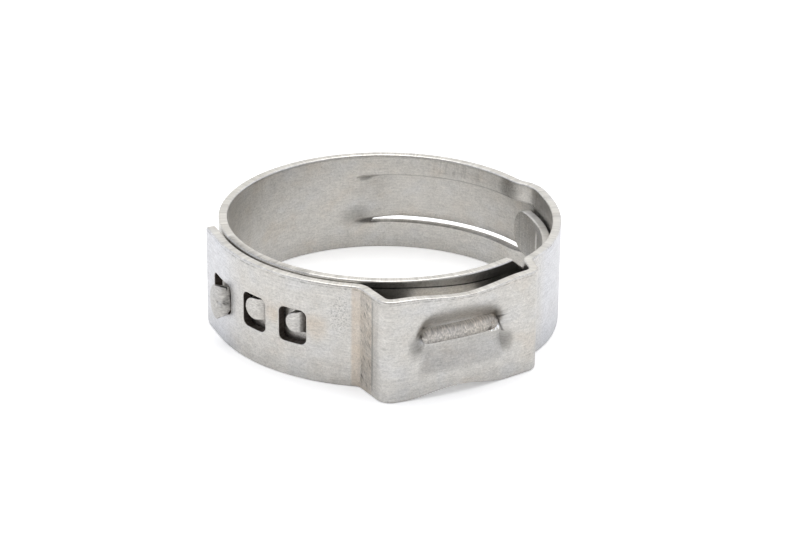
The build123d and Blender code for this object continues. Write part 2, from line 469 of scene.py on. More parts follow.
def distanceToLoops(points):
    best = np.full(len(points), 1e9)
    for _, loop, _, _ in blank:
        for a, b in zip(loop, np.roll(loop, -1, 0)):
            near = np.abs(points[:, 0] - a[0]) < meshing["nearby"]
            if near.any():
                p = points[near]
                t = np.clip(((p - a) @ (b - a)) / max((b - a) @ (b - a), 1e-12), 0, 1)
                gap = np.linalg.norm(p - a - t[:, None] * (b - a), axis=1)
                best[near] = np.minimum(best[near], gap)
    return best


def gridPoints():
    columns = [0.1]
    while columns[-1] < stripLength:
        columns.append(columns[-1] + spacingAt(columns[-1]))
    hookSpan = (onRing(hooks["ends"][2][1]) - 0.2, onRing(hooks["ends"][0][0]) + 0.2)
    points = []
    for u in columns:
        pitch = meshing["side"]
        if dimpleSpan[0] < u < dimpleSpan[1]:
            pitch = meshing["fine"]
        elif hookSpan[0] < u < hookSpan[1]:
            pitch = meshing["fine"] * 2
        rows = int(2 * half / pitch)
        points += [(u, -half + 2 * half * (k + 0.5) / rows) for k in range(rows)]
    points = np.array(points)
    keep = np.ones(len(points), bool)
    for name, loop, _, _ in blank:
        within = inside(points, loop)
        keep &= within if name == "outline" else ~within
    points = points[keep]
    room = np.array([spacingAt(u) for u in points[:, 0]]) * meshing["clearShare"]
    return points[distanceToLoops(points) > room]


def tabOutline(index):
    corners, radii = tabCorners(index)
    return roundedLoop(corners, [0.01, *radii, 0.01])


tabs = {"hook%d" % i: tabOutline(i) for i in range(len(hooks["ends"]))}


def laneNames(points):
    names = np.full(len(points), "main", dtype="<U8")
    u, z = points.T
    highCut = np.interp(u, slitEnds, strip["channelHigh"])
    freed = (u > slitEnds[0]) & (u < slitEnds[1]) & (z > strip["channelLow"]) & (z < highCut)
    names[freed] = "channel"
    for name, loop in tabs.items():
        names[inside(points, loop)] = name
    return names


def placed(points, names, offset, lean=0.0, away=None):
    spots = np.zeros((len(points), 3))
    normals = np.zeros((len(points), 3))
    for name in np.unique(names):
        pick = names == name
        lane = lanes[name]
        u, z = points[pick].T
        alongU, alongZ, out = surfaceFrame(u, z, lane)
        spots[pick] = midSurface(u, z, lane) + out * offset
        facing = out * math.copysign(1, offset) * math.cos(lean)
        if away is not None:
            w = away[pick]
            facing = facing + (alongU * w[:, :1] + alongZ * w[:, 1:]) * math.sin(lean)
        normals[pick] = facing
    return spots, normals


def buildBand():
    flat, edges, starts = [], [], []
    count = 0
    for _, loop, _, _ in blank:
        starts.append(count)
        n = len(loop)
        flat.append(loop)
        edges += [(count + i, count + (i + 1) % n) for i in range(n)]
        count += n
    flat.append(gridPoints())
    flat = np.vstack(flat)
    result = delaunay_2d_cdt([Vector(p) for p in flat], edges, [], 0, 1e-5)
    source = [origin[0] for origin in result[3]]
    triangles = np.array([[source[v] for v in face] for face in result[2]])
    middles = flat[triangles].mean(axis=1)
    keep = np.ones(len(middles), bool)
    for name, loop, _, _ in blank:
        within = inside(middles, loop)
        keep &= within if name == "outline" else ~within
    triangles = triangles[keep]
    a, b, c = (flat[triangles[:, i]] for i in range(3))
    turned = np.cross(b - a, c - a) < 0
    triangles[turned] = triangles[turned][:, ::-1]
    print("blank meshed, %d points, %d triangles a side" % (len(flat), len(triangles)))

    names = laneNames(flat)
    t = strip["thick"] / 2
    spots, normals, maps, rims, inners, torn = [], [], [], [], [], []

    def addLayer(points, layerNames, offset, rim, wall=0.0, lean=0.0, away=None):
        p, n = placed(points, layerNames, offset, lean, away)
        first = sum(len(s) for s in spots)
        spots.append(p)
        normals.append(n)
        maps.append(points)
        rims.append(np.full(len(points), rim))
        inners.append(np.full(len(points), float(offset < 0)))
        torn.append(np.full(len(points), wall))
        return first

    topFirst = addLayer(flat, names, t, 0.0)
    lowFirst = addLayer(flat, names, -t, 0.0)
    faces = [topFirst + triangles, lowFirst + triangles[:, ::-1]]
    quads = []
    for (name, loop, away, edge), start in zip(blank, starts):
        steps = meshing["outlineRings"] if name == "outline" else meshing["cutRings"]
        loopNames = names[start:start + len(loop)]
        rings = [topFirst + start]
        for side in (1, -1):
            order = range(1, steps + 1) if side > 0 else range(steps, 0, -1)
            for k in order:
                lean = k / steps * math.pi / 2
                points = loop + away * edge * math.sin(lean)
                offset = side * (t - edge * (1 - math.cos(lean)))
                # the windows' walls are marked here to carry the painted shade inside the windows
                wall = 1.0 if name == "window" and (side < 0 or k == steps) else 0.0
                rings.append(addLayer(points, loopNames, offset, 1.0, wall, lean, away))
        rings.append(lowFirst + start)
        i = np.arange(len(loop))
        j = np.roll(i, -1)
        for upper, lower in zip(rings, rings[1:]):
            quads.append(np.stack((upper + j, upper + i, lower + i, lower + j), -1))
    triangles, quads = np.vstack(faces), np.vstack(quads)

    spots = np.vstack(spots) * mm
    mesh = bpy.data.meshes.new("clampBand")
    mesh.from_pydata(spots.tolist(), [], triangles.tolist() + quads.tolist())
    mesh.validate()
    mesh.shade_smooth()
    uv = mesh.uv_layers.new(name="alongStrip")
    corner = np.empty(len(mesh.loops), int)
    mesh.loops.foreach_get("vertex_index", corner)
    maps = np.vstack(maps) / 10
    uv.data.foreach_set("uv", maps[corner].astype(np.float32).ravel())
    for label, values in (("rim", rims), ("inner", inners), ("torn", torn)):
        values = np.concatenate(values)
        layer = mesh.attributes.new(label, "FLOAT", "POINT")
        layer.data.foreach_set("value", values.astype(np.float32))
    mesh.normals_split_custom_set_from_vertices(np.vstack(normals).tolist())
    print("band folded, %d faces" % len(mesh.polygons))
    return linked("clampBand", mesh)


band = buildBand()


# shader maths: a wrapped socket, so that an expression on wires adds its own Math nodes
class Wire:
    tree = None      # the node tree that new nodes go into

    def __init__(self, socket):
        self.socket = socket

    @staticmethod
    def node(kind, settings=None, sockets=None, out=0):
        made = Wire.tree.nodes.new(kind)
        for name, value in (settings or {}).items():
            setattr(made, name, value)
        for name, value in (sockets or {}).items():
            if isinstance(value, Wire):
                Wire.tree.links.new(value.socket, made.inputs[name])
            else:
                made.inputs[name].default_value = value
        return Wire(made.outputs[out]) if made.outputs else None

    # another output of the same node
    def beside(self, name):
        return Wire(self.socket.node.outputs[name])

    def into(self, shader, name):
        Wire.tree.links.new(self.socket, shader.inputs[name])

    def maths(self, operation, *others):
        return Wire.node("ShaderNodeMath", {"operation": operation}, dict(enumerate((self, *others))))

    def __add__(self, other):
        return self.maths("ADD", other)

    def __sub__(self, other):
        return self.maths("SUBTRACT", other)

    def __mul__(self, other):
        return self.maths("MULTIPLY", other)

    def __truediv__(self, other):
        return self.maths("DIVIDE", other)

    def __rsub__(self, other):
        return (self * -1) + other

    __radd__ = __add__
    __rmul__ = __mul__


def rise(value, start, end):
    sockets = {"Value": value, "From Min": start, "From Max": end}
    return Wire.node("ShaderNodeMapRange", {"interpolation_type": "SMOOTHSTEP"}, sockets)


def between(value, low, high, soft):
    return rise(value, low - soft, low + soft) * (1 - rise(value, high - soft, high + soft))


# a soft-edged rectangle: (low, high, soft) along the strip and across it
def box(u, z, along, across):
    return between(u, *along) * between(z, *across)


def roundDistance(u, z, middle, reach):
    across = (u - middle[0]) / reach[0]
    up = (z - middle[1]) / reach[1]
    return (across * across + up * up).maths("SQRT")


# an oval patch: 1 in the middle, fading over the outer share of its reach
def patch(u, z, middle, reach, soft=0.5):
    return 1 - rise(roundDistance(u, z, middle, reach), 1 - soft, 1 + soft)


def noise(u, z, pitchU, pitchZ, seed, detail=3.0, rough=0.55):
    where = Wire.node("ShaderNodeCombineXYZ", None, {0: u / pitchU, 1: z / pitchZ, 2: float(seed)})
    sockets = {"Vector": where, "Scale": 1.0, "Detail": detail, "Roughness": rough}
    return Wire.node("ShaderNodeTexNoise", None, sockets)


def mixed(base, over, amount):
    return Wire.node("ShaderNodeMix", {"data_type": "RGBA"}, {0: amount, 6: base, 7: over}, 2)


def shaded(colour, tone):
    return Wire.node("ShaderNodeVectorMath", {"operation": "SCALE"}, {0: colour, "Scale": tone})


# finish: mill stainless, rolled along the strip
finish = {
    "steel": (0.635, 0.617, 0.583, 1), "warm": (0.60, 0.53, 0.45, 1),
    "cool": (0.60, 0.622, 0.665, 1), "windowSheen": (0.69, 0.70, 0.735, 1),
    # the second colour on the next line is near-black painted shade for the windows' walls
    "cutEdge": (0.70, 0.685, 0.65, 1), "windowWallShade": (0.075, 0.06, 0.048, 1),
    "tarnish": (0.16, 0.115, 0.07, 1),
    "mottle": {"speck": 0.7, "grain": 0.5, "blotch": 0.34, "fine": 0.5},
    "pitDark": 0.25, "pitLevel": (0.74, 0.8),
    "coolLevel": (0.5, 0.72), "coolShare": 0.22,
    # painted reflection: a bluish-white sheen of the side window, painted on the raised stretch and on the
    # tail's start
    "sheenFrom": (0.8, 2.0, 1.0), "sheenTail": (2.5, 6.5), "sheenShare": 0.75,
    "edgeLevel": (0.35, 0.65), "edgeLeast": 0.45, "edgeMore": 0.5,
    "tarnishLevel": (0.5, 0.72), "tarnishShare": 0.16,
    "brown": ((10.75, 0.45), (0.42, 0.42), 0.6), "brownLevel": (0.42, 0.62), "brownShare": 0.45,
    "wallShadeLeast": 0.80, "wallShadeMore": 0.3,
    "roughness": 0.34, "roughSpread": 0.22, "roughGrain": 0.15, "tornRough": 0.25, "shearedRough": 0.3,
    "sheared": ((5.9, 11.05, 0.1), (0.1, 1.0, 0.1)),
    "bump": {"grain": 0.6, "speck": 1.0, "blotch": 0.8}, "bumpDepth": 0.012,
}
# noise by name: millimetres along the strip and across it, seed, detail, roughness
textures = {
    "grain": (1.1, 0.1, 1, 4.0, 0.65), "speck": (0.19, 0.17, 2, 4.0, 0.6), "cloud": (2.4, 1.9, 3, 2.0),
    "fine": (0.085, 0.085, 4, 2.0), "blotch": (0.75, 0.6, 5), "pits": (0.16, 0.2, 6, 1.0),
    "tarnish": (0.9, 0.7, 7), "granular": (0.105, 0.105, 12, 2.0), "streaks": (0.22, 1.8, 13),
    "burr": (0.5, 0.8, 14, 4.0),
}
# nicks run aslant, so their noise is turned
nickTexture = {"slant": 0.55, "noise": (0.10, 0.7, 11, 2.0)}


# the ear's foot: short nicks, a crease, a rubbed spot beside it
footWear = {
    "foot": ((0.85, 2.2, 0.12), (-3.2, 3.25, 0.2)), "dull": 0.03,
    "nickLevel": (0.54, 0.68), "nickDark": 0.6, "brightLevel": (0.52, 0.66), "nickBright": 0.2,
    "crease": ((2.2, 2.36, 0.09), (-3.0, 3.1, 0.25)), "creaseDark": 0.36,
    "creaseStreak": 0.6, "streakMiddle": 0.4,
    "rub": ((-0.75, 1.45), (0.62, 1.35), 0.55), "rubLevel": (0.48, 0.66), "rubDark": 0.42, "rubLift": 0.04,
}


def footTone(at):
    w, slant = footWear, nickTexture["slant"]
    nicks = noise(at.u + at.z * slant, at.z - at.u * slant, *nickTexture["noise"])
    cut = w["dull"] + w["nickDark"] * rise(nicks, *w["nickLevel"])
    cut = cut - w["nickBright"] * rise(1 - nicks, *w["brightLevel"])
    crease = w["creaseDark"] + w["creaseStreak"] * (at.streaks - w["streakMiddle"])
    rub = w["rubDark"] * rise(at.granular, *w["rubLevel"]) - w["rubLift"]
    tone = 1 - box(at.a, at.z, *w["foot"]) * at.outer * cut
    tone = tone * (1 - box(at.a, at.z, *w["crease"]) * at.outer * crease)
    return tone * (1 - patch(at.a, at.z, *w["rub"]) * at.outer * rub)


# the dimple: sheared bar with a painted highlight on its top, painted shade on the slope below the bar, in a
# line under it and above it, painted shade in the hollows at its ends and along its steep right wall, a dark
# slanted line at its upper right, painted glints
dimpleWear = {
    "bar": ((5.84, 11.0, 0.1), (0.18, 0.80, 0.07)), "barGrain": 1.4, "barDark": 0.26,
    "barTop": (0.18, 0.73), "barTopLit": 0.36,
    "shadedSlope": ((5.35, 11.35, 0.3), (-2.0, 0.1, 0.3)), "shadedSlopeDark": 0.21,
    "barShadow": ((8.4, 10.6, 0.5), (0.08, 0.14, 0.04)), "barShadowDark": 0.45,
    "upperShade": ((5.6, 11.4, 0.4), (0.85, 2.6, 0.4)), "upperShadeDark": 0.08,
    "leftHollowShade": ((5.15, 0.2), (0.46, 0.7), 0.7), "leftHollowShadeDark": 0.46,
    "leftHollowCore": ((5.72, 0.3), (0.12, 0.26), 0.6), "leftHollowCoreShade": 0.25,
    "rightHollowShade": ((11.6, -0.72), (0.42, 0.62), 0.9), "rightHollowShadeDark": 0.5,
    "rightWallArc": ((13.0, 0.52), (1.5, 1.6)), "rightWallLine": (0.955, 1.02, 0.025),
    "rightWallHeights": (-0.05, 1.15, 0.06), "rightWallEnd": (11.68, 11.74), "rightWallShade": 0.6,
    "slantLineMiddle": 10.5, "slantLineLean": 0.35, "slantLine": ((10.3, 11.42, 0.08), (1.12, 1.22, 0.05)),
    "slantLineDark": 0.42,
    "pit": ((10.5, 0.34), (0.16, 0.12), 0.6), "pitDark": 0.55,
    "glint": ((10.85, 0.16), (0.5, 0.16), 0.4), "glintLevel": (0.46, 0.54), "glintBright": 1.6,
}


def dimpleTone(at):
    w, a, z, h, outer = dimpleWear, at.a, at.z, at.h, at.outer
    # the bar: granular and darker, with a painted highlight along its top
    bar = w["barGrain"] * (at.granular - 0.5) - w["barDark"] + w["barTopLit"] * rise(h, *w["barTop"])
    tone = 1 + box(a, h, *w["bar"]) * outer * bar
    # painted shade on the slope below the bar, in a thin line under the bar, and above it
    for name in ("shadedSlope", "barShadow", "upperShade"):
        tone = tone * (1 - box(a, h, *w[name]) * outer * w[name + "Dark"])
    # painted shade in the hollows at the dimple's ends
    left = patch(a, z, *w["leftHollowShade"]) * w["leftHollowShadeDark"] + patch(a, z, *w["leftHollowCore"]) * w["leftHollowCoreShade"]
    tone = tone * (1 - outer * left)
    for name in ("rightHollowShade", "pit"):
        tone = tone * (1 - patch(a, z, *w[name]) * outer * w[name + "Dark"])
    # painted shade along the dimple's steep right wall, and a dark slanted line at its upper right
    rightWall = between(roundDistance(a, z, *w["rightWallArc"]), *w["rightWallLine"])
    rightWall = rightWall * between(z, *w["rightWallHeights"]) * (1 - rise(a, *w["rightWallEnd"]))
    slantLine = box(a, z + (a - w["slantLineMiddle"]) * w["slantLineLean"], *w["slantLine"])
    tone = tone * (1 - outer * rightWall * w["rightWallShade"]) * (1 - outer * slantLine * w["slantLineDark"])
    # painted glints on the bar's right end
    glint = patch(a, z, *w["glint"]) * rise(at.granular, *w["glintLevel"])
    return tone * (1 + glint * outer * w["glintBright"])


# the burr line, and inside the ring painted shade at the channel's lanced end and where the lower slit ends, a
# painted shadow along the upper cut, painted shade on the lower slit's wall, and the worn lane above
laneWear = {
    "burr": ((-14.0, 13.6, 0.2), (3.25, 3.33, 0.045)),
    "burrDull": 0.06, "burrDark": 0.38, "burrLevel": (0.4, 0.62),
    "lowCornerShade": ((0.1, -1.05), (0.95, 0.62), 0.7), "lowCornerShadeDark": 0.34,
    "bendShade": ((-0.2, 0.3), (0.5, 1.5), 0.8), "bendShadeDark": 0.08,
    "highCornerShade": ((-0.55, 1.77), (0.45, 0.17), 0.5), "highCornerShadeDark": 0.42,
    "slitEndShadeAngle": 97.0, "slitEndShade": ((0.0, -1.48), (0.85, 0.2), 0.5), "slitEndShadeDark": 0.75,
    "cut": (-0.1, 0.14, 0.03), "cutShort": 0.3, "cutShadowDark": 0.32,
    "wall": (-1.9, -1.2, 0.1), "slitWallShadeDark": 0.38, "endsSoft": 0.1,
    "topLine": (3.22, 3.36), "topLineEnd": 150.0, "topLineSoft": 2.0, "topLineDark": 0.22,
    "wornAngles": (52.0, 72.0), "wornSoft": 0.8, "wornHeights": (2.4, 3.3, 0.15),
    "wornDull": 0.02, "wornDark": 0.26, "wornLevel": (0.46, 0.66),
    "pressed": ((0.1, 2.8), (0.85, 0.9), 0.5), "pressedDark": 0.42, "pressedGrain": 0.9,
    "lapLead": 2.5, "lapPast": 0.25, "lapSoft": 0.35, "lapDark": 0.34, "lapStreak": 0.6,
}


def laneTone(at):
    w, u, z, inside = laneWear, at.u, at.z, at.inside
    cutStart, cutEnd = slitEnds
    burr = w["burrDull"] + w["burrDark"] * rise(at.burr, *w["burrLevel"])
    tone = 1 - box(at.a, z, *w["burr"]) * at.outer * burr

    # painted shade in the corners and the bend at the channel's lanced end
    c = u - onRing(channel["end"])
    low = patch(c, z, *w["lowCornerShade"]) * w["lowCornerShadeDark"] + patch(c, z, *w["bendShade"]) * w["bendShadeDark"]
    tone = tone * (1 - inside * low)
    tone = tone * (1 - inside * patch(c, z, *w["highCornerShade"]) * w["highCornerShadeDark"])
    # painted shade closing the lower slit's end
    slitEndShade = patch(u - onRing(w["slitEndShadeAngle"]), z, *w["slitEndShade"])
    tone = tone * (1 - at.inner * slitEndShade * w["slitEndShadeDark"])

    # painted shadow along the channel's upper cut
    cutFirst, cutLast = strip["channelHigh"]
    aboveCut = z - cutFirst - (u - cutStart) * ((cutLast - cutFirst) / (cutEnd - cutStart))
    cut = box(u, aboveCut, (cutStart, cutEnd - w["cutShort"], w["endsSoft"]), w["cut"])
    tone = tone * (1 - inside * cut * w["cutShadowDark"])
    # painted shade on the lower slit's wall
    wall = box(u, z, (cutStart, cutEnd, w["endsSoft"]), w["wall"])
    tone = tone * (1 - at.rim * at.inner * wall * w["slitWallShadeDark"])
    topLine = between(u, marks["step"], onRing(w["topLineEnd"]), w["topLineSoft"]) * rise(z, *w["topLine"])
    tone = tone * (1 - inside * topLine * w["topLineDark"])

    wornFrom, wornTo = (onRing(angle) for angle in w["wornAngles"])
    worn = box(u, z, (wornFrom, wornTo, w["wornSoft"]), w["wornHeights"])
    strokes = w["wornDull"] + w["wornDark"] * rise(at.streaks, *w["wornLevel"])
    tone = tone * (1 - inside * worn * strokes)
    pressed = patch(u - marks["ring"], z, *w["pressed"])
    tone = tone * (1 - inside * pressed * (w["pressedDark"] + w["pressedGrain"] * (at.granular - 0.5)))
    lap = between(u, onRing(0.0) - w["lapLead"], marks["step"] + w["lapPast"], w["lapSoft"])
    lap = lap * between(u, 0, marks["ring"], w["endsSoft"])
    return tone * (1 - inside * lap * (w["lapDark"] + w["lapStreak"] * (at.streaks - 0.5)))


# inner layer: the tongue darker and streaked towards its end with a painted highlight band, painted shade in
# the pocket under the ear with a dark line and a lighter band below it, painted shade on the tongue's top edge
pocketWear = {
    "tongueFrom": 345.0, "tongueSoft": 0.6, "tongueDark": 0.27, "tongueStreak": 0.6, "tongueGrain": 0.9,
    "shine": ((-4.2, -3.8, 0.1), (0.2, 1.5, 0.3)), "shineBright": 1.5,
    "from": 262.0, "soft": 0.3, "past": 1.0,
    "leftShade": (266.0, 280.0, 0.72), "rightShade": (298.0, 315.0, 0.7),
    "line": 3.0, "lineFall": (276.0, 306.0, 0.24), "darkLine": (-0.06, 0.02, 0.015), "darkLineDepth": 0.85,
    "darkLineEnd": (305.0, 312.0), "below": (0.03, 0.07), "belowBright": 0.35,
    "edgeFrom": 0.75, "edgeEnd": 334.0, "edgeSoft": 0.2, "edgeShadeDark": 0.85,
}


def pocketTone(at):
    w, u, z = pocketWear, at.u, at.z
    past = stripLength + w["past"]

    def risen(start, end, share=1.0):
        return rise(u, onRing(start), onRing(end)) * share

    end = between(u, onRing(w["tongueFrom"]), past, w["tongueSoft"])
    # the tongue darker and streaked towards its end
    tongueDarkening = w["tongueDark"] + w["tongueStreak"] * (at.streaks - 0.5) + w["tongueGrain"] * (at.granular - 0.5)
    tone = 1 - at.inside * end * tongueDarkening
    # a painted highlight band near the tongue's end
    tone = tone * (1 + at.inside * box(u - stripLength, z, *w["shine"]) * w["shineBright"])

    # painted shade on the inner layer's outer face in the pocket under the ear
    pocket = between(u, onRing(w["from"]), past, w["soft"]) * at.outer
    leftStart, leftEnd, leftShade = w["leftShade"]
    depth = (1 - risen(leftStart, leftEnd)) * leftShade + risen(*w["rightShade"])
    # a dark line across the pocket, lighter just below it
    drop = w["line"] - risen(*w["lineFall"]) - z
    tone = tone * (1 - pocket * depth) * (1 + pocket * rise(drop, *w["below"]) * w["belowBright"])
    darkLine = between(drop, *w["darkLine"]) * (1 - risen(*w["darkLineEnd"]))
    tone = tone * (1 - pocket * darkLine * w["darkLineDepth"])
    # painted shade on the tongue's top edge near its neck, under the ear
    tongueEdgeShade = between(u, uShoulder + w["edgeFrom"], onRing(w["edgeEnd"]), w["edgeSoft"]) * at.rim
    return tone * (1 - tongueEdgeShade * w["edgeShadeDark"])


# hooks: sheared and dull with painted shade on their rims, the knob darker, with painted shade on its facet
hookWear = {
    "soft": 0.05, "dull": 0.06, "grain": 0.7, "rim": 0.25, "knobFrom": 0.1, "knobDark": 0.12,
    "facetAngle": -150.6, "facet": ((0.0, -0.3), (0.26, 0.42), 0.3), "facetShade": 0.35,
}


def hookTone(at):
    w = hookWear
    (firstRoot, _), (knobRoot, knobTip) = hooks["ends"][0], hooks["ends"][2]
    lobe = between(at.u, onRing(knobTip), onRing(firstRoot), w["soft"]) * (1 - at.inner)
    # the hooks dull and grainy, with painted shade on their rims
    tone = 1 - lobe * (w["dull"] + w["grain"] * (at.granular - 0.5) + w["rim"] * at.rim)
    knob = between(at.u, onRing(knobTip) - w["knobFrom"], onRing(knobRoot), w["soft"]) * (1 - at.inner)
    facet = patch(at.u - onRing(w["facetAngle"]), at.z, *w["facet"])
    # the knob a little darker, with painted shade on its facet
    return tone * (1 - knob * (w["knobDark"] + w["facetShade"] * facet))


# where the metal is rubbed brown: beside the ear's foot, by two windows, on the bar and in clouds
warmWear = {
    "footBand": (0.0, 0.82, 0.1), "footBandShare": 0.8, "foot": (0.82, 2.2, 0.15), "footShare": 0.45,
    "spots": ((-127.5, 0.5, (0.55, 0.5)), (-111.5, 0.35, (0.75, 0.8))), "spotShare": 0.5,
    "bar": ((5.8, 10.95, 0.15), (0.2, 0.95, 0.1)), "barShare": 0.3,
    "cloudLevel": (0.5, 0.75), "cloudShare": 0.35,
}


def warmth(at):
    w = warmWear
    total = between(at.a, *w["footBand"]) * w["footBandShare"] + between(at.a, *w["foot"]) * w["footShare"]
    for angle, height, reach in w["spots"]:
        total = total + patch(at.u - onOuter(angle), at.z, (0.0, height), reach) * w["spotShare"]
    total = total + box(at.a, at.h, *w["bar"]) * w["barShare"]
    return total * at.outer + rise(at.cloud, *w["cloudLevel"]) * w["cloudShare"]


# a place on the steel: u along the strip and z across it in millimetres, a from the ear's start,
# h along the dimple's tilt, the mesh's masks and the noises
def steelPlace():
    along = Wire.node("ShaderNodeUVMap", {"uv_map": "alongStrip"})
    split = Wire.node("ShaderNodeSeparateXYZ", None, {"Vector": along})
    at = SimpleNamespace(u=split * 10, z=split.beside("Y") * 10)
    for name in ("rim", "inner", "torn"):
        setattr(at, name, Wire.node("ShaderNodeAttribute", {"attribute_name": name}, None, 2))
    at.outer, at.inside = (1 - at.inner) * (1 - at.rim), at.inner * (1 - at.rim)
    at.a = at.u - marks["ear"]
    at.h = at.z + dimple["tilt"] * (at.a - dimple["middle"])
    for name, settings in textures.items():
        setattr(at, name, noise(at.u, at.z, *settings))
    return at


def steelColour(at):
    f = finish
    colour = mixed(f["steel"], f["warm"], warmth(at))
    colour = mixed(colour, f["cool"], rise(1 - at.cloud, *f["coolLevel"]) * f["coolShare"])
    # painted reflection: bluish-white window sheen painted on the outer face of the raised stretch and of the
    # tail's start
    start, past, soft = f["sheenFrom"]
    sheen = between(at.u, marks["raised"] + start, marks["step"] + past, soft) + 1 - rise(at.u, *f["sheenTail"])
    colour = mixed(colour, f["windowSheen"], sheen * (1 - at.inner) * f["sheenShare"])
    edge = f["edgeLeast"] + f["edgeMore"] * rise(at.grain, *f["edgeLevel"])
    colour = mixed(colour, f["cutEdge"], at.rim * edge)
    stain = at.rim * rise(at.tarnish, *f["tarnishLevel"]) * f["tarnishShare"]
    colour = mixed(colour, f["tarnish"], stain)
    brown = patch(at.a, at.z, *f["brown"]) * (1 - at.inner) * rise(at.speck, *f["brownLevel"])
    colour = mixed(colour, f["tarnish"], brown * f["brownShare"])
    tone = 1 - rise(at.pits, *f["pitLevel"]) * f["pitDark"]
    for name, share in f["mottle"].items():
        tone = tone + (getattr(at, name) - 0.5) * share
    for wear in (footTone, dimpleTone, laneTone, pocketTone, hookTone):
        tone = tone * wear(at)
    # the windows' walls are painted near black: painted shade inside the windows, mottled by speck noise
    return mixed(shaded(colour, tone), f["windowWallShade"], at.torn * (f["wallShadeLeast"] + f["wallShadeMore"] * at.speck))


def newMaterial(name):
    material = bpy.data.materials.new(name)
    material.use_nodes = True
    Wire.tree = material.node_tree
    return material, material.node_tree.nodes["Principled BSDF"]


def millSteel():
    material, shader = newMaterial("millStainless")
    shader.inputs["Metallic"].default_value = 1.0
    at = steelPlace()
    steelColour(at).into(shader, "Base Color")
    sheared = box(at.a, at.z, *finish["sheared"]) * (1 - at.inner)
    rough = finish["roughness"] + (at.speck - 0.5) * finish["roughSpread"]
    rough = rough + (at.grain - 0.5) * finish["roughGrain"]
    rough = rough + at.torn * finish["tornRough"] + sheared * finish["shearedRough"]
    rough.into(shader, "Roughness")
    height = sum(getattr(at, name) * share for name, share in finish["bump"].items())
    sockets = {"Height": height, "Strength": 1.0, "Distance": finish["bumpDepth"] * mm}
    Wire.node("ShaderNodeBump", None, sockets).into(shader, "Normal")
    return material


band.data.materials.append(millSteel())
print("steel wired")

# burrs: tiny slivers that the shears left along the outer layer's top edge
burrs = {
    "from": 0.8, "to": 33.0, "height": 3.43, "sunk": 0.01, "lineSteps": 400, "count": 330,
    "length": 0.11, "thickness": 0.03, "kept": 0.5, "seed": 7,
    "stretch": (0.35, 1.5), "lift": (0.4, 1.3), "roughness": 0.45,
    "speckScale": 6000.0, "speck": (0.4, 0.6, 0.8),
}


def burrTree():
    tree = bpy.data.node_groups.new("edgeBurrs", "GeometryNodeTree")
    tree.interface.new_socket("Edge Line", in_out="INPUT", socket_type="NodeSocketGeometry")
    kinds = {"Count": "Int", "Length": "Float", "Thickness": "Float", "Share Kept": "Float",
             "Seed": "Int", "Metal": "Material"}
    for name, kind in kinds.items():
        tree.interface.new_socket(name, in_out="INPUT", socket_type="NodeSocket" + kind)
    tree.interface.new_socket("Burrs", in_out="OUTPUT", socket_type="NodeSocketGeometry")
    Wire.tree = tree
    given = Wire.node("NodeGroupInput")
    seed, length, thickness = (given.beside(name) for name in ("Seed", "Length", "Thickness"))
    line = Wire.node("GeometryNodeMeshToCurve", None, {"Mesh": given.beside("Edge Line")})
    spread = {"Curve": line, "Count": given.beside("Count")}
    points = Wire.node("GeometryNodeResampleCurve", None, spread)
    chance = {"Probability": given.beside("Share Kept"), "Seed": seed}
    kept = Wire.node("FunctionNodeRandomValue", {"data_type": "BOOLEAN"}, chance, 3)

    def randomIn(span, itsSeed):
        sockets = {2: span[0], 3: span[1], "Seed": itsSeed}
        return Wire.node("FunctionNodeRandomValue", {"data_type": "FLOAT"}, sockets, 1)

    wide = length * randomIn(burrs["stretch"], seed + 1)
    tall = thickness * randomIn(burrs["lift"], seed + 2)
    size = Wire.node("ShaderNodeCombineXYZ", None, {"X": wide, "Y": thickness, "Z": tall})
    edgeWay = {"Vector": Wire.node("GeometryNodeInputTangent")}
    along = Wire.node("FunctionNodeAlignRotationToVector", {"axis": "X"}, edgeWay)
    sliver = Wire.node("GeometryNodeMeshIcoSphere", None, {"Radius": 0.5, "Subdivisions": 1})
    slivers = Wire.node("GeometryNodeInstanceOnPoints", None, {
        "Points": points, "Selection": kept, "Instance": sliver, "Rotation": along, "Scale": size})
    solid = Wire.node("GeometryNodeRealizeInstances", None, {"Geometry": slivers})
    dressed = {"Geometry": solid, "Material": given.beside("Metal")}
    finished = Wire.node("GeometryNodeSetMaterial", None, dressed)
    Wire.node("NodeGroupOutput", None, {"Burrs": finished})
    return tree


def burrMetal():
    material, shader = newMaterial("shearedBurrs")
    where = Wire.node("ShaderNodeTexCoord", None, None, 3)
    sockets = {"Vector": where, "Scale": burrs["speckScale"], "Detail": 2.0}
    speck = Wire.node("ShaderNodeTexNoise", None, sockets)
    low, high, share = burrs["speck"]
    mixed(finish["cutEdge"], finish["tarnish"], rise(speck, low, high) * share).into(shader, "Base Color")
    shader.inputs["Metallic"].default_value = 1.0
    shader.inputs["Roughness"].default_value = burrs["roughness"]
    return material


